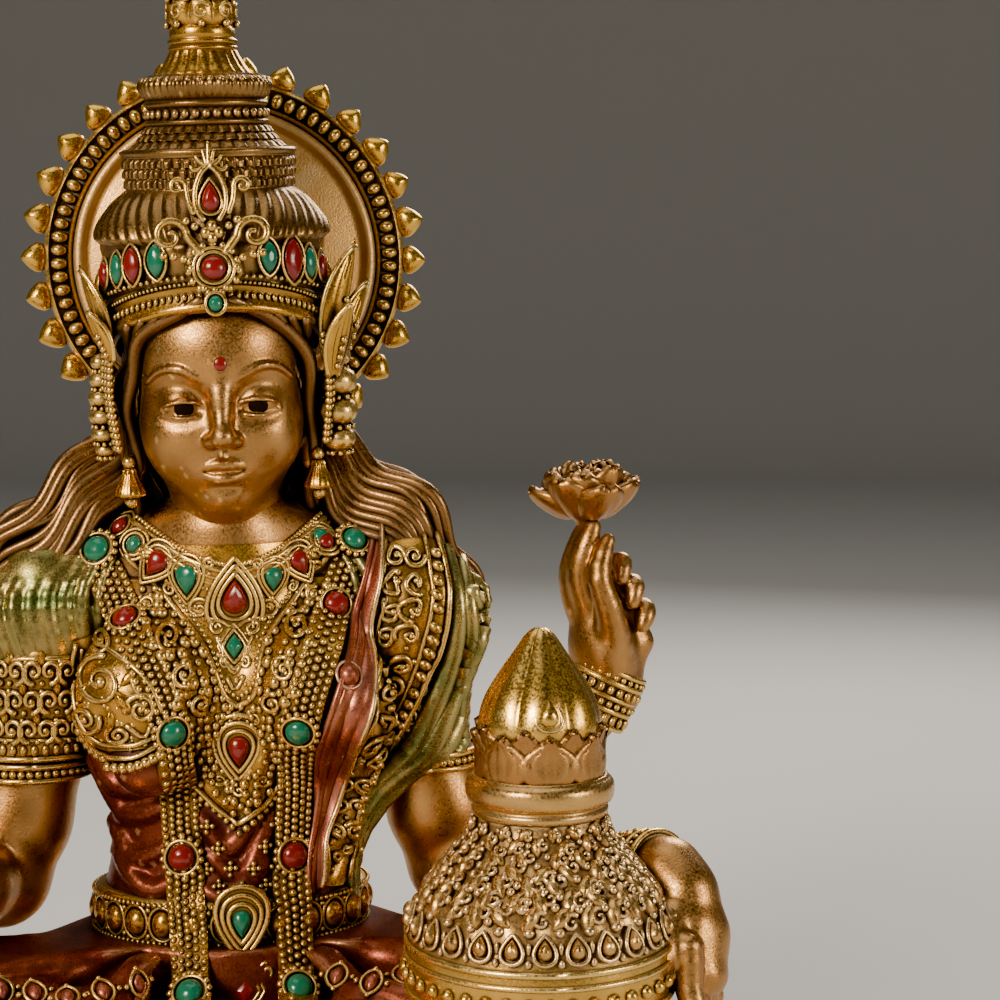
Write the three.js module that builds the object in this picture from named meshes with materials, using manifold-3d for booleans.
// A seated four-armed goddess of fortune on a double lotus: a resin figurine finished as antique bronze.
// She holds two lotuses in her raised hands, blesses with her front right hand and rests her front left
// hand on a kalash, the pot of plenty, which stands beside her with mango leaves and a coconut in its mouth.
// Millimetres, +Z up. She faces -Y, her right side is -X, and the origin is the centre of the flat underside.
import * as THREE from "three";
import { mergeVertices } from "three/addons/utils/BufferGeometryUtils.js";
import Module from "manifold-3d";

const wasm = await Module();
wasm.setup();

// ---------------------------------------------------------------- driving dimensions

const CLEARANCE = 0.35; // glue line between two castings that touch
const ROUND = 10; // sides of a limb or a ball
const FINE = 18; // sides of a turned tier
const SLIM = 6; // sides of a finger

const BASE = {
  halfWidth: 70,
  halfDepth: 62,
  feltThickness: 1.2,
  feltInset: 2.5,
  plinthHeight: 7,
  plinthInset: 1.5,
  lowerPetalHeight: 10,
  upperPetalHeight: 13,
  petals: 16,
  petalDepth: 2.2, // how far a petal's middle stands out of the joint between two petals
  waistInset: 6.5, // how far the pedestal draws in between its two rows of petals
  seatHeight: 3.5,
  seatInset: 3.5,
};
const FIGURE_BACK = 12; // the figure's axis behind the middle of the pedestal

const BODY = {
  hipHalfWidth: 28,
  hipHalfDepth: 17,
  hipRise: 15,
  hipHeight: 21, // seat to the underside of the belt
  beltHeight: 7.2,
  beltWall: 2.4,
  waistHalfWidth: 18.5,
  waistHalfDepth: 12.5,
  shoulderHeight: 76, // seat to the shoulder joints
  shoulderHalf: 28,
  chestHalfWidth: 25.5,
  chestHalfDepth: 13.5,
  bustRadius: 9.6,
  bustHalf: 12.2,
};

const LEG = { kneeHalf: 44, kneeForward: 18, thighRadius: 12, kneeRadius: 11, shinRadius: 7.5 };
const LAP = { halfWidth: 38, halfDepth: 22, height: 13, forward: 12 }; // cloth stretched between the knees
const FOOT = { half: 13, forward: 33, length: 9.5, width: 4.8, height: 4.2 };
const FAN = { radius: 15, thickness: 2.2, folds: 7, foldDepth: 1.1 };

const ARM = {
  shoulderRadius: 9.2,
  elbowRadius: 7,
  wristRadius: 4.9,
  elbowOut: 8,
  elbowDrop: 45,
  sleeveShare: 0.62, // how much of the upper arm the sleeve covers
  sleeveWall: 1.5,
  armletHeight: 4.2,
  armletWall: 1.3,
  bangleHeight: 8.5,
  bangleWall: 1.1,
};
const RAISED = { out: 25.5, back: 1, up: 27, lean: 5, handLength: 15, lotusUp: 33 };
const BLESSING = { out: 10, forward: 33, up: 7, handLength: 25 };
const HAND = { palm: [6.2, 3.2, 7.6], finger: 1.75, thumb: 2.1 };
const LOTUS = { radius: 10, height: 10.5, petals: 8, petalDepth: 1.4, stemRadius: 1.7 };

const NECK = { radius: 8.8, rise: 4, height: 16, bow: 6, roll: -2.4 }; // bow and roll of the head in degrees
const HEAD = { halfWidth: 13.2, halfDepth: 14.6, halfHeight: 18.3, centre: 27, forward: 1 };
const HAIR = { cover: 2.1, capBack: 3.5, faceHalfWidth: 12.4, faceHalfHeight: 17 };
const LOCK = { radius: 5.2, tipRadius: 3.4 };
const TRESS = { halfWidth: 17, halfDepth: 4.6, share: 0.355 }; // half its height as a share of the torso

const CROWN = {
  base: 41.5, // above the neck joint, to the underside of the jewelled tier
  bandRadius: 17,
  bandHeight: 4.6,
  bandWall: 2.4,
  bandTilt: -23, // degrees: the front of the band rides up over the brow
  bandCentre: 34.5,
  tierHeight: 7,
  tierRadius: 16.4,
  domeHeight: 6.7,
  drumRadius: 12.4,
  drumHeight: 5.6,
  coneHeight: 3.2,
  coneTop: 8.4,
  collarRadius: 9.3,
  collarHeight: 7.1,
  spireRadius: 6.4,
  spireHeight: 3.2,
  finialRadius: 4.7,
  finialHeight: 13,
  flutes: 12,
};
const CREST = { halfWidth: 8, height: 26, thickness: 2, stand: 0.8, lean: -12 }; // stands before the tier
const WING = { halfWidth: 3.4, height: 15, thickness: 2 };
const TASSEL = { radius: 2.3, beads: 5, length: 15 };
const EARRING = { radius: 2.1, length: 9 };

const HALO = {
  inset: 3.8, // from the back of the crown's tier to the disc's middle
  centre: 50.15, // above the shoulder joints
  discRadius: 24,
  thickness: 2.6,
  beadRing: 26.2,
  beadRadius: 1.9,
  flameRing: 28.6,
  flames: 30,
  flameLength: 4,
  flameRim: 2,
};

const KALASH = {
  out: 42,
  forward: 44, // in front of the figure's axis
  footRadius: 8.8,
  footHeight: 6,
  bellyRadius: 18.4,
  bellyHeight: 40,
  mouthRadius: 8.8,
  collarRadius: 9.9,
  collarHeight: 7,
  leafRadius: 8.6,
  leafHeight: 6.5,
  leaves: 8,
  coconutRadius: 8,
  coconutHeight: 13.5,
};

const FRONT_REACH = 60; // how far in front of the figure's axis the outlines of worn pieces run
const NECKLACE = { inner: 9.6, outer: 17.5, thickness: 1.8, strandHalf: 2.7, strandThickness: 2.6 };
const PENDANT = { halfWidth: 3.6, height: 10, thickness: 3.4 };
const DRAPE = { thickness: 1.6, halfWidths: [2.6, 3.4, 3, 2] };
const FOLDS = { thickness: 2.6, halfWidths: [3.6, 4.4, 4, 3] };
const STONE = { radius: 2.1, height: 1.6, rise: 5.5 };

// ---------------------------------------------------------------- solids from three.js geometry

const JOINED = 1e-3; // vertices closer than this are one

// A closed three.js geometry as a solid. A face whose corners have met is dropped.
function solidOf(geometry, matrix = new THREE.Matrix4()) {
  const bare = geometry.clone().applyMatrix4(matrix);
  for (const name of ["normal", "uv"]) bare.deleteAttribute(name);
  const merged = mergeVertices(bare, JOINED);
  const corners = [];
  const index = merged.index.array;
  for (let i = 0; i < index.length; i += 3) {
    const [a, b, c] = index.slice(i, i + 3);
    if (a !== b && b !== c && a !== c) corners.push(a, b, c);
  }
  const vertProperties = merged.attributes.position.array;
  const build = (list) =>
    new wasm.Manifold(new wasm.Mesh({ numProp: 3, vertProperties, triVerts: new Uint32Array(list) }));
  const made = build(corners);
  return made.volume() < 0 ? build(corners.reverse()) : made;
}

// Places a geometry: moved to a point and turned by degrees about x, y and z.
function pose([x, y, z], [turnX, turnY, turnZ] = [0, 0, 0], [sx, sy, sz] = [1, 1, 1]) {
  const turn = new THREE.Euler(...[turnX, turnY, turnZ].map(THREE.MathUtils.degToRad));
  return new THREE.Matrix4().compose(
    new THREE.Vector3(x, y, z),
    new THREE.Quaternion().setFromEuler(turn),
    new THREE.Vector3(sx, sy, sz),
  );
}

const join = (...solids) => solids.reduce((whole, next) => whole.add(next));
const mirrored = (side, [x, y, z]) => [side * x, y, z];
const plus = ([ax, ay, az], [bx, by, bz]) => [ax + bx, ay + by, az + bz];
const between = (a, b, share) => a.map((value, i) => value + (b[i] - value) * share);

// An ellipsoid, grown by a clearance.
function ball(centre, radii, grow = 0, turn = [0, 0, 0], sides = ROUND) {
  const sphere = new THREE.SphereGeometry(1, sides, Math.ceil(sides / 2) + 1);
  sphere.rotateX(Math.PI / 2);
  return solidOf(sphere, pose(centre, turn, radii.map((radius) => radius + grow)));
}

// A profile of [radius, height] pairs turned about Z. ripple moves each radius by its angle and height.
function turned(profile, sides = FINE, ripple = null) {
  const points = profile.map(([radius, height]) => new THREE.Vector2(radius, height));
  const lathe = new THREE.LatheGeometry(points, sides).rotateX(Math.PI / 2);
  if (ripple) {
    const position = lathe.attributes.position;
    for (let i = 0; i < position.count; i++) {
      const [x, y, z] = [position.getX(i), position.getY(i), position.getZ(i)];
      const radius = Math.hypot(x, y);
      const factor = radius > JOINED ? 1 + ripple(Math.atan2(y, x), z) / radius : 1;
      position.setXY(i, x * factor, y * factor);
    }
  }
  return lathe;
}

// A straight tier with an upright wall: a cylinder or cone from z = low to z = high.
const tier = (low, high, bottom, top, grow = 0) => [
  [0, low - grow],
  [bottom + grow, low - grow],
  [top + grow, high + grow],
  [0, high + grow],
];

// A limb: a tapered bar with round ends from one point to another.
function limb(from, to, fromRadius, toRadius, grow = 0, sides = ROUND) {
  const start = new THREE.Vector3(...from);
  const along = new THREE.Vector3(...to).sub(start);
  const length = along.length();
  const steps = 2;
  const profile = [];
  for (let i = 0; i <= steps; i++) {
    const angle = (Math.PI / 2) * (i / steps - 1);
    profile.push([(fromRadius + grow) * Math.cos(angle), (fromRadius + grow) * Math.sin(angle)]);
  }
  for (let i = 0; i <= steps; i++) {
    const angle = (Math.PI / 2) * (i / steps);
    profile.push([(toRadius + grow) * Math.cos(angle), length + (toRadius + grow) * Math.sin(angle)]);
  }
  profile[0][0] = 0;
  profile.at(-1)[0] = 0;
  const turn = new THREE.Quaternion().setFromUnitVectors(new THREE.Vector3(0, 0, 1), along.normalize());
  const matrix = new THREE.Matrix4().compose(start, turn, new THREE.Vector3(1, 1, 1));
  return solidOf(turned(profile, sides), matrix);
}

// A chain of limbs through points, with a radius at each point.
function chain(points, radii, grow = 0, sides = ROUND) {
  const links = points.slice(1).map((to, i) => limb(points[i], to, radii[i], radii[i + 1], grow, sides));
  return join(...links);
}

// A sleeve, bangle or armlet: a straight drum round the limb from a to b, between two shares of its length.
function drumOn(a, b, low, high, lowRadius, highRadius, grow = 0) {
  const start = new THREE.Vector3(...a);
  const along = new THREE.Vector3(...b).sub(start);
  const length = along.length();
  const turn = new THREE.Quaternion().setFromUnitVectors(new THREE.Vector3(0, 0, 1), along.normalize());
  const matrix = new THREE.Matrix4().compose(start, turn, new THREE.Vector3(1, 1, 1));
  return solidOf(turned(tier(low * length, high * length, lowRadius, highRadius, grow), ROUND + 2), matrix);
}

// A leaf or drop outline, pointed at the top, round at the bottom, that stands on z = 0 and is thick along y.
function drop(halfWidth, height, thickness, grow = 0) {
  const [width, rise] = [halfWidth + grow, height - halfWidth];
  const outline = new THREE.Shape();
  outline.absarc(0, halfWidth, width, Math.PI, 2 * Math.PI, false);
  outline.quadraticCurveTo(width, halfWidth + rise / 2, 0, height + grow);
  outline.quadraticCurveTo(-width, halfWidth + rise / 2, -width, halfWidth);
  const depth = thickness + 2 * grow;
  const sheet = new THREE.ExtrudeGeometry(outline, { depth, bevelEnabled: false, curveSegments: 6 });
  return sheet.translate(0, 0, -depth / 2).rotateX(Math.PI / 2);
}

// ---------------------------------------------------------------- materials

const finish = (color, roughness, metalness) =>
  new THREE.MeshStandardMaterial({ color, roughness, metalness });
const MATERIALS = {
  bronze: finish(0x9a6c33, 0.38, 0.9),
  gold: finish(0xb8862b, 0.32, 0.95),
  darkBronze: finish(0x5a3b1c, 0.45, 0.85),
  maroon: finish(0x6e2a1f, 0.42, 0.6),
  green: finish(0x6d6b34, 0.42, 0.7),
  redStone: finish(0x8c0f12, 0.18, 0),
  greenStone: finish(0x0f7a55, 0.18, 0),
  felt: finish(0x2a211c, 0.95, 0),
};

// ---------------------------------------------------------------- assembly

const goddess = new THREE.Group();
const figure = new THREE.Group();
figure.position.set(0, FIGURE_BACK, 0);
const head = new THREE.Group();
goddess.add(figure);
figure.add(head);

const clearanceShapes = new Map();

// Adds a named sub-part to a group. shape(grow) is its solid in the group's own frame, and meets names the
// earlier sub-parts that it seats on or passes round: it is cut back from them by the clearance.
function add(name, material, group, shape, meets = []) {
  goddess.updateMatrixWorld(true);
  const world = group.matrixWorld.elements;
  const home = group.matrixWorld.clone().invert().elements;
  let solid = shape(0).transform([...world]);
  for (const other of meets) solid = solid.subtract(clearanceShapes.get(other));
  const pieces = solid.decompose().sort((a, b) => b.volume() - a.volume());
  clearanceShapes.set(name, shape(CLEARANCE).transform([...world]));
  const { vertProperties, triVerts } = pieces[0].transform([...home]).getMesh();
  const geometry = new THREE.BufferGeometry()
    .setAttribute("position", new THREE.BufferAttribute(vertProperties, 3))
    .setIndex(new THREE.BufferAttribute(triVerts, 1));
  geometry.computeVertexNormals();
  const mesh = new THREE.Mesh(geometry, material);
  mesh.name = name;
  group.add(mesh);
}

// ---- pedestal

const flattened = new THREE.Matrix4().makeScale(1, BASE.halfDepth / BASE.halfWidth, 1);
const oval = (profile, sides, ripple) => solidOf(turned(profile, sides, ripple), flattened);
const petalRipple = (angle) => BASE.petalDepth * (Math.abs(Math.cos((BASE.petals * angle) / 2)) - 1);
const PETAL_SIDES = BASE.petals * 4;

const plinthLow = BASE.feltThickness + CLEARANCE;
const lowerPetalLow = plinthLow + BASE.plinthHeight + CLEARANCE;
const upperPetalLow = lowerPetalLow + BASE.lowerPetalHeight + CLEARANCE;
const seatLow = upperPetalLow + BASE.upperPetalHeight + CLEARANCE;
const SEAT = seatLow + BASE.seatHeight;

function addPedestal() {
  const wide = BASE.halfWidth;
  const waist = wide - BASE.waistInset;
  const felt = tier(0, BASE.feltThickness, wide - BASE.feltInset, wide - BASE.feltInset);
  add("base_felt", MATERIALS.felt, goddess, () => oval(felt, FINE * 2));
  const plinthTop = plinthLow + BASE.plinthHeight;
  const plinth = tier(plinthLow, plinthTop, wide - BASE.plinthInset, wide - BASE.petalDepth);
  add("pedestal_plinth", MATERIALS.bronze, goddess, () => oval(plinth, FINE * 2));
  const lowerTop = lowerPetalLow + BASE.lowerPetalHeight;
  const lower = [
    [0, lowerPetalLow],
    [wide - 1, lowerPetalLow],
    [wide, lowerPetalLow + BASE.lowerPetalHeight * 0.3],
    [waist + 2, lowerTop - BASE.lowerPetalHeight * 0.2],
    [waist, lowerTop],
    [0, lowerTop],
  ];
  add("lotus_lower_petals", MATERIALS.gold, goddess, () => oval(lower, PETAL_SIDES, petalRipple));
  const upperTop = upperPetalLow + BASE.upperPetalHeight;
  const upper = [
    [0, upperPetalLow],
    [waist, upperPetalLow],
    [wide - 1.5, upperPetalLow + BASE.upperPetalHeight * 0.35],
    [wide, upperPetalLow + BASE.upperPetalHeight * 0.75],
    [wide - 1, upperTop],
    [0, upperTop],
  ];
  add("lotus_upper_petals", MATERIALS.gold, goddess, () => oval(upper, PETAL_SIDES, petalRipple));
  const seatRadius = wide - BASE.seatInset;
  const seat = tier(seatLow, SEAT, seatRadius, seatRadius - 1);
  add("lotus_seat", MATERIALS.bronze, goddess, () => oval(seat, FINE * 2));
}

// ---- kalash

const seatTop = SEAT + CLEARANCE;
const kalashAt = [KALASH.out, -KALASH.forward, seatTop];
const bellyTop = KALASH.footHeight + KALASH.bellyHeight;
const bellyMiddle = [kalashAt[0], kalashAt[1], seatTop + KALASH.footHeight + KALASH.bellyHeight * 0.55];

// The pot's profile: a flared foot, a full belly on an arc of an ellipse, and a drawn-in mouth.
function potProfile(grow) {
  const points = [
    [0, -grow],
    [KALASH.footRadius + grow, -grow],
    [KALASH.footRadius * 0.72 + grow, KALASH.footHeight],
  ];
  const steps = 7;
  for (let i = 1; i < steps; i++) {
    const angle = Math.PI * (i / steps - 0.5);
    const height = KALASH.footHeight + (KALASH.bellyHeight / 2) * (1 + Math.sin(angle));
    points.push([Math.max(KALASH.bellyRadius * Math.cos(angle) ** 0.8, KALASH.mouthRadius) + grow, height]);
  }
  points.push([KALASH.mouthRadius + grow, bellyTop + grow], [0, bellyTop + grow]);
  return points;
}

function addKalash() {
  const here = pose(kalashAt);
  const stack = (profile, ripple, sides = FINE) => solidOf(turned(profile, sides, ripple), here);
  add("kalash_pot", MATERIALS.gold, figure, (grow) => stack(potProfile(grow)));
  const collarLow = bellyTop + CLEARANCE;
  const collarTop = collarLow + KALASH.collarHeight;
  add("kalash_collar", MATERIALS.bronze, figure, (grow) =>
    stack([
      [0, collarLow - grow],
      [KALASH.mouthRadius + grow, collarLow - grow],
      [KALASH.collarRadius + grow, collarLow + KALASH.collarHeight * 0.35],
      [KALASH.collarRadius + grow, collarLow + KALASH.collarHeight * 0.8],
      [KALASH.mouthRadius + grow, collarTop + grow],
      [0, collarTop + grow],
    ]),
  );
  const leafLow = collarTop + CLEARANCE;
  const leafTop = leafLow + KALASH.leafHeight;
  const scallop = (angle) => 0.9 * (Math.abs(Math.cos((KALASH.leaves * angle) / 2)) - 1);
  const leaves = (grow) => tier(leafLow, leafTop, KALASH.leafRadius - 1.6, KALASH.leafRadius, grow);
  add("mango_leaves", MATERIALS.bronze, figure, (grow) => stack(leaves(grow), scallop, KALASH.leaves * 3));
  const coconutLow = leafTop + CLEARANCE;
  const coconutTop = coconutLow + KALASH.coconutHeight;
  add("coconut", MATERIALS.gold, figure, (grow) =>
    stack([
      [0, coconutLow - grow],
      [KALASH.coconutRadius + grow, coconutLow - grow],
      [KALASH.coconutRadius + grow, coconutLow + KALASH.coconutHeight * 0.2],
      [KALASH.coconutRadius * 0.78 + grow, coconutLow + KALASH.coconutHeight * 0.5],
      [KALASH.coconutRadius * 0.3 + grow, coconutLow + KALASH.coconutHeight * 0.86],
      [0, coconutTop + grow],
    ]),
  );
}

// ---- legs, skirt and feet

const hipTop = seatTop + BODY.hipHeight;
const SIDES = [
  ["right", -1],
  ["left", 1],
];

// Everything above the seat: a wide slab that trims what would sink into the lotus.
function aboveSeat(solid) {
  const slab = new THREE.BoxGeometry(4 * BASE.halfWidth, 4 * BASE.halfWidth, 4 * BASE.halfWidth);
  return solid.subtract(solidOf(slab, pose([0, 0, seatTop - 2 * BASE.halfWidth])));
}

function legs(grow) {
  const knee = [LEG.kneeHalf, -LEG.kneeForward, seatTop + LEG.kneeRadius - 1];
  const parts = [
    ball([0, 1, seatTop + 8], [BODY.hipHalfWidth, BODY.hipHalfDepth, BODY.hipRise], grow),
    ball([0, -LAP.forward, seatTop], [LAP.halfWidth, LAP.halfDepth, LAP.height], grow),
  ];
  for (const [, side] of SIDES) {
    const hip = mirrored(side, [BODY.hipHalfWidth / 2, 2, seatTop + LEG.thighRadius - 2]);
    const ankle = mirrored(-side, [FOOT.half / 2, -FOOT.forward + 4, seatTop + LEG.shinRadius - 1]);
    parts.push(limb(hip, mirrored(side, knee), LEG.thighRadius, LEG.kneeRadius, grow));
    parts.push(limb(mirrored(side, knee), ankle, LEG.kneeRadius - 2, LEG.shinRadius, grow));
  }
  const [low, high] = [BODY.waistHalfWidth, BODY.waistHalfDepth + 3];
  parts.push(drumOn([0, 1, seatTop], [0, 1, hipTop], 0.3, 1, low, high, grow));
  return aboveSeat(join(...parts));
}

function addLegs() {
  add("skirt", MATERIALS.maroon, figure, legs, ["kalash_pot"]);
  for (const [name, side] of SIDES) {
    const foot = mirrored(-side, [FOOT.half, -FOOT.forward, seatTop + FOOT.height + 1.5 + side]);
    add(
      `${name}_foot`,
      MATERIALS.bronze,
      figure,
      (grow) => aboveSeat(ball(foot, [FOOT.length, FOOT.width, FOOT.height], grow, [0, 0, side * 14])),
      side < 0 ? ["skirt", "kalash_pot"] : ["skirt", "right_foot"],
    );
  }
  addFan();
}

// The end of the sari, spread on the seat as a pleated fan.
function addFan() {
  const outline = new THREE.Shape();
  const steps = FAN.folds * 4;
  outline.moveTo(-FAN.radius * 0.25, 0);
  for (let i = 0; i <= steps; i++) {
    const angle = Math.PI * (1 + i / steps);
    const reach = FAN.radius + FAN.foldDepth * Math.cos(2 * FAN.folds * angle);
    outline.lineTo(reach * Math.cos(angle), reach * Math.sin(angle) * 0.62);
  }
  outline.lineTo(FAN.radius * 0.25, 0);
  const sheet = new THREE.ExtrudeGeometry(outline, { depth: FAN.thickness, bevelEnabled: false });
  const at = pose([0, -FOOT.forward - FOOT.width + 1, seatTop]);
  const wide = (grow) => solidOf(sheet, at);
  add("sari_fan", MATERIALS.maroon, figure, wide, ["skirt", "right_foot", "left_foot", "kalash_pot"]);
}

// ---- torso

const shoulderZ = seatTop + BODY.shoulderHeight;
const neckAt = [0, -2, shoulderZ + NECK.rise];
head.position.set(...neckAt);
head.rotation.set(...[NECK.bow, NECK.roll, 0].map(THREE.MathUtils.degToRad));
const beltLow = hipTop + CLEARANCE;
const beltTop = beltLow + BODY.beltHeight;
const chestZ = shoulderZ - 9;
const bustZ = shoulderZ - 17;

function torso(grow) {
  const [wide, deep] = [BODY.waistHalfWidth, BODY.waistHalfDepth];
  const waist = new THREE.Matrix4().makeScale(1, (deep + grow) / (wide + grow), 1);
  const flare = [
    [0, beltLow - grow],
    [wide + grow, beltLow - grow],
    [wide + grow, beltTop + 4],
    [BODY.chestHalfWidth - 1 + grow, chestZ],
    [BODY.chestHalfWidth * 0.6 + grow, shoulderZ + grow],
    [0, shoulderZ + grow],
  ];
  const parts = [
    solidOf(turned(flare, FINE), waist),
    ball([0, 1, chestZ], [BODY.chestHalfWidth, BODY.chestHalfDepth, 15], grow, [0, 0, 0], FINE),
    ball([0, 1, shoulderZ - 1], [BODY.shoulderHalf, 9.5, 8.5], grow),
  ];
  for (const [, side] of SIDES) {
    const bust = mirrored(side, [BODY.bustHalf, -BODY.chestHalfDepth + 3, bustZ]);
    parts.push(ball(bust, [BODY.bustRadius, BODY.bustRadius, BODY.bustRadius], grow));
  }
  return join(...parts);
}

function addTorso() {
  add("torso", MATERIALS.maroon, figure, torso, ["kalash_pot", "skirt"]);
  const [outerX, outerY] = [BODY.waistHalfWidth + BODY.beltWall, BODY.waistHalfDepth + BODY.beltWall];
  add(
    "waist_belt",
    MATERIALS.gold,
    figure,
    (grow) => {
      const ring = turned(tier(beltLow, beltTop, outerX, outerX, grow), FINE);
      return solidOf(ring, new THREE.Matrix4().makeScale(1, (outerY + grow) / (outerX + grow), 1));
    },
    ["torso", "kalash_pot", "skirt"],
  );
}

// ---- arms

const shoulderPoint = [BODY.shoulderHalf, 2, shoulderZ - 2];
const elbowPoint = plus(shoulderPoint, [ARM.elbowOut, 2, -ARM.elbowDrop]);
const raisedWrist = plus(elbowPoint, [RAISED.out, RAISED.back, RAISED.up]);
const lotusPoint = plus(raisedWrist, [-RAISED.lean, 0, RAISED.lotusUp]);
const blessingWrist = plus(mirrored(-1, elbowPoint), [-BLESSING.out, -BLESSING.forward, BLESSING.up]);
const kalashWrist = plus(bellyMiddle, [KALASH.bellyRadius + 1.2, 4.5, 9.5]);

// Four fingers and a thumb from a palm. across, along and face are unit steps of the palm's own frame.
function hand(palm, across, along, curl, grow) {
  const step = (origin, a, b, c) => origin.map((v, i) => v + across[i] * a + along[i] * b + curl[i] * c);
  const parts = [limb(step(palm, 0, -3, 0), step(palm, 0, 3.5, 0), 5, 4.6, grow)];
  for (const finger of [-1.5, -0.5, 0.5, 1.5]) {
    const spread = finger * 2.4;
    const length = 9.5 - Math.abs(finger - 0.3);
    const knuckle = step(palm, spread, 6, 0);
    const tip = step(palm, spread * 1.15, 6 + length, 2);
    parts.push(limb(knuckle, tip, HAND.finger, HAND.finger - 0.4, grow, SLIM));
  }
  parts.push(limb(step(palm, 3.5, -1, 1), step(palm, 6.6, 6, 3), HAND.thumb, HAND.thumb - 0.5, grow, SLIM));
  return join(...parts);
}

function addArms() {
  for (const [name, side] of SIDES) {
    const shoulder = mirrored(side, shoulderPoint);
    const elbow = mirrored(side, elbowPoint);
    const cuff = ARM.elbowRadius + ARM.sleeveWall;
    const middle = between(shoulder, elbow, ARM.sleeveShare * 0.7);
    const sleeve = (grow) =>
      join(
        limb(shoulder, middle, ARM.shoulderRadius, cuff, grow),
        drumOn(shoulder, elbow, 0.2, ARM.sleeveShare, ARM.shoulderRadius, cuff, grow),
      );
    add(`${name}_sleeve`, MATERIALS.green, figure, sleeve, ["torso"]);
    const armlet = ARM.armletHeight / ARM.elbowDrop;
    const rim = cuff + ARM.armletWall;
    const armletLow = ARM.sleeveShare + CLEARANCE / ARM.elbowDrop;
    add(
      `${name}_armlet`,
      MATERIALS.gold,
      figure,
      (grow) => drumOn(shoulder, elbow, armletLow, armletLow + armlet, rim, rim - 0.4, grow),
      [`${name}_sleeve`, "torso"],
    );
    const armLow = armletLow + armlet + CLEARANCE / ARM.elbowDrop;
    const bare = (grow) => drumOn(shoulder, elbow, armLow, 1, ARM.elbowRadius + 0.4, ARM.elbowRadius, grow);
    const joint = [ARM.elbowRadius, ARM.elbowRadius, ARM.elbowRadius];
    const upper = (grow) => join(bare(grow), ball(elbow, joint, grow));
    add(`${name}_upper_arm`, MATERIALS.bronze, figure, upper, [`${name}_armlet`, "torso", "skirt"]);
    addRaisedHand(name, side);
  }
  addBlessingHand();
  addKalashHand();
}

const bangleShares = (from, to) => {
  const length = Math.hypot(...to.map((v, i) => v - from[i]));
  return [1 - (ARM.bangleHeight + 1) / length, 1 - 1 / length];
};

function addForearm(name, material, from, wrist, extra, meets) {
  const radius = ARM.wristRadius + ARM.bangleWall + 0.6;
  const [low, high] = bangleShares(from, wrist);
  const arm = (grow) => join(limb(from, wrist, ARM.elbowRadius - 0.8, ARM.wristRadius, grow), extra(grow));
  add(`${name}_forearm`, material, figure, arm, meets);
  add(
    `${name}_bangle`,
    MATERIALS.gold,
    figure,
    (grow) => drumOn(from, wrist, low, high, radius, radius, grow),
    [`${name}_forearm`, ...meets],
  );
}

function addRaisedHand(name, side) {
  const elbow = mirrored(side, elbowPoint);
  const wrist = mirrored(side, raisedWrist);
  const palm = plus(wrist, mirrored(side, [-1.5, 0, 8]));
  const across = [0, -1, 0];
  const along = mirrored(side, [-0.15, 0, 0.99]);
  const inward = mirrored(side, [0.99, 0, 0.15]);
  addForearm(
    `${name}_raised`,
    MATERIALS.bronze,
    elbow,
    wrist,
    (grow) => hand(palm, across, along, inward, grow),
    [`${name}_upper_arm`, `${name}_armlet`, "skirt"],
  );
  const flower = mirrored(side, lotusPoint);
  const low = -LOTUS.height / 2;
  const bowl = (grow) => [
    [0, low - 4 - grow],
    [LOTUS.stemRadius + grow, low - 4 - grow],
    [LOTUS.stemRadius + 1.5 + grow, low],
    [LOTUS.radius * 0.75 + grow, low + LOTUS.height * 0.35],
    [LOTUS.radius + grow, low + LOTUS.height * 0.75],
    [LOTUS.radius * 0.86 + grow, low + LOTUS.height],
    [0, low + LOTUS.height * 0.8 + grow],
  ];
  const petal = (angle, z) =>
    z > low ? LOTUS.petalDepth * (Math.abs(Math.cos((LOTUS.petals * angle) / 2)) - 1) : 0;
  add(
    `${name}_lotus`,
    MATERIALS.bronze,
    figure,
    (grow) => solidOf(turned(bowl(grow), LOTUS.petals * 3, petal), pose(flower)),
    [`${name}_raised_forearm`],
  );
}

function addBlessingHand() {
  const elbow = mirrored(-1, elbowPoint);
  const palm = plus(blessingWrist, [0, -3.5, 8]);
  addForearm(
    "right_blessing",
    MATERIALS.bronze,
    elbow,
    blessingWrist,
    (grow) => hand(palm, [1, 0, 0], [0, -0.1, 0.99], [0, -0.99, -0.1], grow),
    ["right_upper_arm", "right_raised_forearm", "skirt"],
  );
}

function addKalashHand() {
  const palm = plus(kalashWrist, [1, -6, -7]);
  addForearm(
    "left_kalash",
    MATERIALS.bronze,
    elbowPoint,
    kalashWrist,
    (grow) => hand(palm, [0.1, 0.8, -0.6], [-0.1, -0.6, -0.8], [-0.99, 0, 0.1], grow),
    ["left_upper_arm", "left_raised_forearm", "kalash_pot", "kalash_collar", "skirt"],
  );
}

// ---- halo

const haloAt = [0, CROWN.tierRadius - HALO.inset, shoulderZ + HALO.centre];

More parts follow.
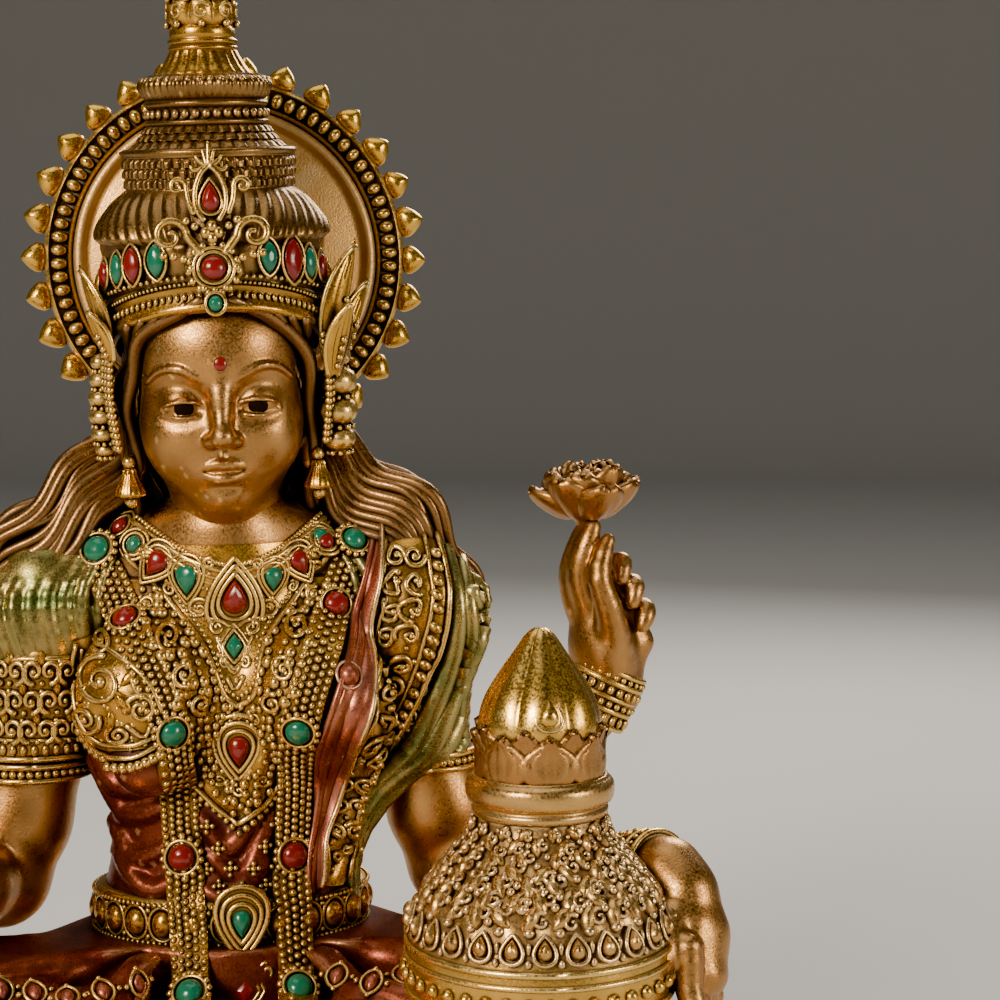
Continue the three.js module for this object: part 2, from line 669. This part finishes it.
function addHalo() {
  const upright = pose(haloAt, [90, 0, 0]);
  const half = HALO.thickness / 2;
  const disc = (grow) => tier(-half, half, HALO.discRadius, HALO.discRadius, grow);
  add("halo_disc", MATERIALS.bronze, figure, (grow) => solidOf(turned(disc(grow), FINE * 2), upright));
  const beadInner = HALO.discRadius + CLEARANCE;
  const beadOuter = HALO.flameRing - CLEARANCE;
  const crest = half + HALO.beadRadius / 2;
  const beads = (grow) => [
    [beadInner, -half - grow],
    [beadOuter + grow, -half - grow],
    [beadOuter + grow, half],
    [HALO.beadRing, crest + grow],
    [beadInner, half],
    [beadInner, -half - grow],
  ];
  const ring = (grow) => solidOf(turned(beads(grow), FINE * 2), upright);
  add("halo_bead_ring", MATERIALS.gold, figure, ring);
  const rim = HALO.flameRing + HALO.flameRim;
  const flames = (grow) => [
    [HALO.flameRing - grow, -half - grow],
    [rim + grow, -half - grow],
    [rim + grow, half + grow],
    [HALO.flameRing - grow, half + grow],
    [HALO.flameRing - grow, -half - grow],
  ];
  // The rim's outer edge runs out to a point on every other side, and its inner edge stays round.
  const lathe = (grow) => {
    const geometry = turned(flames(grow), HALO.flames * 2);
    const position = geometry.attributes.position;
    for (let i = 0; i < position.count; i++) {
      const [x, y] = [position.getX(i), position.getY(i)];
      const radius = Math.hypot(x, y);
      const tip = Math.cos(HALO.flames * Math.atan2(y, x)) > 0;
      const stretch = radius > HALO.flameRing + 1 && tip ? 1 + (HALO.flameLength - 1) / radius : 1;
      position.setXY(i, x * stretch, y * stretch);
    }
    return solidOf(geometry, upright);
  };
  add("halo_flames", MATERIALS.gold, figure, lathe);
}

// ---- head, hair and crown, in the frame of the neck joint

function addHead() {
  const face = [0, HEAD.forward, HEAD.centre];
  const radii = [HEAD.halfWidth, HEAD.halfDepth, HEAD.halfHeight];
  const neck = (grow) => limb([0, 1, -8], [0, 1, NECK.height], NECK.radius + 1.5, NECK.radius, grow);
  const crownCap = (grow) => solidOf(turned(crownTier(grow)), pose([0, 2, 0]));
  add("crown_tier", MATERIALS.gold, head, crownCap, ["halo_disc", "halo_bead_ring", "halo_flames"]);
  add(
    "head",
    MATERIALS.bronze,
    head,
    (grow) => join(ball(face, radii, grow, [0, 0, 0], FINE), neck(grow)),
    ["crown_tier", "torso", "halo_disc", "halo_bead_ring", "halo_flames"],
  );
  addCrown();
  addHair(face, radii);
}

const tierTop = CROWN.base + CROWN.tierHeight;
const crownTier = (grow) => tier(CROWN.base, tierTop, CROWN.tierRadius - 0.8, CROWN.tierRadius, grow);

function addCrown() {
  const haloParts = ["halo_disc", "halo_bead_ring", "halo_flames"];
  const axis = pose([0, 2, 0]);
  const flute = (angle) => 0.45 * (Math.abs(Math.cos(CROWN.flutes * angle)) - 1);
  let low = tierTop + CLEARANCE;
  const stack = (name, profile, height, ripple = null, sides = FINE) => {
    const base = low;
    const raised = (grow) => profile(grow).map(([radius, z]) => [radius, base + z]);
    add(name, MATERIALS.gold, head, (grow) => solidOf(turned(raised(grow), sides, ripple), axis), haloParts);
    low += height + CLEARANCE;
  };
  const dome = (grow) => [
    [0, -grow],
    [CROWN.tierRadius + grow, -grow],
    [CROWN.tierRadius - 0.6 + grow, CROWN.domeHeight * 0.45],
    [CROWN.drumRadius + grow, CROWN.domeHeight + grow],
    [0, CROWN.domeHeight + grow],
  ];
  stack("crown_dome", dome, CROWN.domeHeight, flute, CROWN.flutes * 4);
  const drum = (grow) => tier(0, CROWN.drumHeight, CROWN.drumRadius - 0.5, CROWN.drumRadius, grow);
  stack("crown_drum", drum, CROWN.drumHeight);
  const collarTop = CROWN.coneHeight + CROWN.collarHeight;
  const collar = (grow) => [
    [0, -grow],
    [CROWN.drumRadius - 2 + grow, -grow],
    [CROWN.coneTop + grow, CROWN.coneHeight],
    [CROWN.collarRadius + grow, CROWN.coneHeight + CROWN.collarHeight * 0.6],
    [CROWN.collarRadius - 0.8 + grow, collarTop + grow],
    [0, collarTop + grow],
  ];
  stack("crown_collar", collar, collarTop);
  const [bulb, tip] = [CROWN.spireHeight, CROWN.spireHeight + CROWN.finialHeight];
  const spire = (grow) => [
    [0, -grow],
    [CROWN.spireRadius + grow, -grow],
    [CROWN.finialRadius - 0.6 + grow, bulb],
    [CROWN.finialRadius + grow, bulb + CROWN.finialHeight * 0.25],
    [CROWN.finialRadius * 0.7 + grow, bulb + CROWN.finialHeight * 0.5],
    [CROWN.finialRadius * 0.35 + grow, bulb + CROWN.finialHeight * 0.75],
    [0, tip + grow],
  ];
  stack("crown_spire", spire, tip);
  const band = (grow) => {
    const half = CROWN.bandHeight / 2;
    const inner = CROWN.bandRadius - CROWN.bandWall;
    const at = pose([0, 1.5, CROWN.bandCentre], [CROWN.bandTilt, 0, 0], [1, 1.04, 1]);
    const outer = solidOf(turned(tier(-half, half, CROWN.bandRadius, CROWN.bandRadius - 0.4, grow)), at);
    return outer.subtract(solidOf(turned(tier(-CROWN.bandHeight, CROWN.bandHeight, inner, inner)), at));
  };
  add("crown_band", MATERIALS.gold, head, band, ["crown_tier", "head", ...haloParts]);
  const crestAt = pose([0, -CROWN.tierRadius - CREST.stand, CROWN.base - 1], [CREST.lean, 0, 0]);
  const crest = (grow) => solidOf(drop(CREST.halfWidth, CREST.height, CREST.thickness, grow), crestAt);
  const crowned = ["crown_tier", "crown_dome", "crown_drum", "crown_collar", "crown_band", "head"];
  add("crown_crest", MATERIALS.gold, head, crest, crowned);
  const onCrest = pose([0, -CREST.thickness / 2 - CLEARANCE, STONE.rise], [90, 0, 0]);
  const stoneAt = crestAt.clone().multiply(onCrest);
  const facet = (grow) => turned(tier(0, STONE.height, STONE.radius, STONE.radius * 0.6, grow), 12);
  const stone = (grow) => solidOf(facet(grow), stoneAt);
  add("crest_stone", MATERIALS.redStone, head, stone, ["crown_crest"]);
}

function addHair(face, radii) {
  const haloParts = ["halo_disc", "halo_bead_ring", "halo_flames"];
  const cap = (grow) => {
    const around = radii.map((radius) => radius + HAIR.cover);
    const whole = ball([0, HAIR.capBack, HEAD.centre + 1], around, grow, [0, 0, 0], ROUND + 4);
    const oval = [HAIR.faceHalfWidth - grow, HAIR.faceHalfHeight - grow, 1];
    const opening = turned(tier(0, 3 * HEAD.halfDepth, 1, 1));
    return whole.subtract(solidOf(opening, pose([0, -1, HEAD.centre - 3], [90, 0, 0], oval)));
  };
  const crowned = ["head", "crown_band", "crown_tier", ...haloParts];
  add("hair_cap", MATERIALS.darkBronze, head, cap, [...crowned, "torso"]);
  const ears = HEAD.halfWidth + HAIR.cover;
  for (const [name, side] of SIDES) {
    const hairParts = ["hair_cap", ...crowned];
    const wingAt = pose(mirrored(side, [ears + 2.6, -1, 33]), [0, side * 8, side * 55]);
    const wing = (grow) => solidOf(drop(WING.halfWidth, WING.height, WING.thickness, grow), wingAt);
    add(`${name}_crown_wing`, MATERIALS.gold, head, wing, [...hairParts, "crown_dome"]);
    const tassel = (grow) => {
      const step = TASSEL.length / TASSEL.beads;
      const nip = TASSEL.radius * 0.6 + grow;
      const profile = [
        [0, -TASSEL.length - grow],
        [nip, -TASSEL.length - grow],
      ];
      for (let bead = TASSEL.beads; bead > 0; bead--) {
        profile.push([TASSEL.radius + grow, (0.5 - bead) * step]);
        profile.push([nip, bead > 1 ? (1 - bead) * step : grow]);
      }
      profile.push([0, grow]);
      return solidOf(turned(profile, 8), pose(mirrored(side, [ears + 2.4, 1, 32])));
    };
    add(`${name}_crown_tassel`, MATERIALS.gold, head, tassel, [...hairParts, `${name}_crown_wing`]);
    const drops = [EARRING.radius, EARRING.radius, EARRING.length / 2];
    const earring = (grow) => ball(mirrored(side, [ears - 0.8, -6.5, 13]), drops, grow, [0, 0, 0], 8);
    add(`${name}_earring`, MATERIALS.gold, head, earring, [...hairParts, "torso"]);
  }
}

// ---- hair on the shoulders and down the back

function addTresses() {
  const halo = ["halo_disc", "halo_bead_ring", "halo_flames"];
  const near = ["torso", "waist_belt", "head", "hair_cap", "crown_band", ...halo];
  const fall = [TRESS.halfWidth, TRESS.halfDepth, TRESS.share * BODY.shoulderHeight];
  const tress = (grow) => ball([0, 12, shoulderZ - 14], fall, grow);
  add("back_hair", MATERIALS.darkBronze, figure, tress, near);
  for (const [name, side] of SIDES) {
    const path = [
      [13, 5, neckAt[2] + 14],
      [20, 5, shoulderZ + 12],
      [29, 6, shoulderZ + 7],
      [37, 9, shoulderZ - 3],
    ].map((point) => mirrored(side, point));
    const radii = [LOCK.radius - 1, LOCK.radius, LOCK.radius, LOCK.tipRadius];
    const lock = (grow) => chain(path, radii, grow, 8);
    add(`${name}_lock`, MATERIALS.darkBronze, figure, lock, [
      ...near,
      "back_hair",
      `${name}_sleeve`,
      `${name}_earring`,
      `${name}_crown_tassel`,
    ]);
  }
}

// ---- jewellery and the drape, which lie on the torso

// An outline in the front view as a solid through the front half of the figure. Its points are [x, z].
function frontPrism(points) {
  const shape = new THREE.Shape(points.map(([x, z]) => new THREE.Vector2(x, z)));
  const prism = new THREE.ExtrudeGeometry(shape, { depth: FRONT_REACH, bevelEnabled: false });
  return solidOf(prism.rotateX(Math.PI / 2));
}

// The outline of a ribbon along a line of points, with a half width at each.
function ribbon(points, halfWidths) {
  const edge = (side) =>
    points.map(([x, z], i) => {
      const [before, after] = [points[Math.max(i - 1, 0)], points[Math.min(i + 1, points.length - 1)]];
      const [dx, dz] = [after[0] - before[0], after[1] - before[1]];
      const reach = (side * halfWidths[i]) / Math.hypot(dx, dz);
      return [x - dz * reach, z + dx * reach];
    });
  return [...edge(-1), ...edge(1).reverse()];
}

// What lies on the torso inside an outline: a shell of that thickness, clear of the torso.
const wornOnTorso = (outline, thickness) => (grow) =>
  frontPrism(outline(grow)).intersect(torso(CLEARANCE + thickness + grow));

const ribbonOf = (points, halfWidths) => (grow) => ribbon(points, halfWidths.map((half) => half + grow));

// A round-bottomed drop outline that hangs with its point at the top.
function dropOutline([x, z], halfWidth, height) {
  const points = [[x, z + height]];
  const steps = 8;
  for (let i = 0; i <= steps; i++) {
    const angle = Math.PI * (i / steps);
    points.push([x + halfWidth * Math.cos(angle), z + halfWidth * (1 - Math.sin(angle))]);
  }
  return points;
}

function addDrape() {
  const worn = ["torso", "head", "waist_belt", "left_sleeve", "left_lock", "hair_cap", "kalash_pot"];
  const sash = [
    [21.5, shoulderZ + 3],
    [20, shoulderZ - 14],
    [15, shoulderZ - 28],
    [10.5, beltTop + 4],
  ];
  const pallu = wornOnTorso(ribbonOf(sash, DRAPE.halfWidths), DRAPE.thickness);
  add("pallu", MATERIALS.maroon, figure, pallu, worn);
  const folds = [
    [29, shoulderZ + 1],
    [26.5, shoulderZ - 14],
    [21, shoulderZ - 30],
    [15, beltTop + 3],
  ];
  const gathered = wornOnTorso(ribbonOf(folds, FOLDS.halfWidths), FOLDS.thickness);
  add("pallu_folds", MATERIALS.green, figure, gathered, [...worn, "pallu", "left_armlet", "left_upper_arm"]);
}

function addJewellery() {
  const cloth = ["torso", "waist_belt", "pallu", "pallu_folds", "right_sleeve", "left_sleeve"];
  const hair = ["head", "hair_cap", "right_lock", "left_lock", "right_earring", "left_earring", "back_hair"];
  const worn = [...cloth, ...hair];
  const throat = [0, shoulderZ + 4];
  const arc = (radius, from, to) => {
    const steps = 14;
    return Array.from({ length: steps + 1 }, (_, i) => {
      const angle = Math.PI * (1 + from + ((to - from) * i) / steps);
      return [throat[0] + radius * Math.cos(angle), throat[1] + radius * Math.sin(angle)];
    });
  };
  const collar = (grow) => [
    ...arc(NECKLACE.outer + grow, 0.02, 0.98),
    ...arc(NECKLACE.inner - grow, 0.98, 0.02),
  ];
  add("collar_necklace", MATERIALS.gold, figure, wornOnTorso(collar, NECKLACE.thickness), worn);
  const jewel = (at) => (grow) => dropOutline(at, PENDANT.halfWidth + grow, PENDANT.height + grow);
  const pendant = jewel([0, shoulderZ - 15.5]);
  const hung = wornOnTorso(pendant, PENDANT.thickness);
  add("pendant", MATERIALS.gold, figure, hung, [...worn, "collar_necklace"]);
  const beltJewel = wornOnTorso(jewel([0, beltLow + 0.5]), PENDANT.thickness + BODY.beltWall);
  add("belt_jewel", MATERIALS.gold, figure, beltJewel, [...worn, "skirt"]);
  for (const [name, side] of SIDES) {
    const strand = [
      [19.5, shoulderZ + 3],
      [14.5, shoulderZ - 9],
      [9, shoulderZ - 22],
      [7.6, beltTop + 14],
      [7.6, beltTop + 0.5],
    ].map(([x, z]) => [side * x, z]);
    const half = strand.map(() => NECKLACE.strandHalf);
    const garland = wornOnTorso(ribbonOf(strand, half), NECKLACE.strandThickness);
    const crossed = ["collar_necklace", "pendant", "belt_jewel"];
    add(`${name}_garland`, MATERIALS.gold, figure, garland, [...worn, ...crossed]);
  }
}

addPedestal();
addKalash();
addLegs();
addTorso();
addArms();
addHalo();
addHead();
addTresses();
addDrape();
addJewellery();

export default goddess;
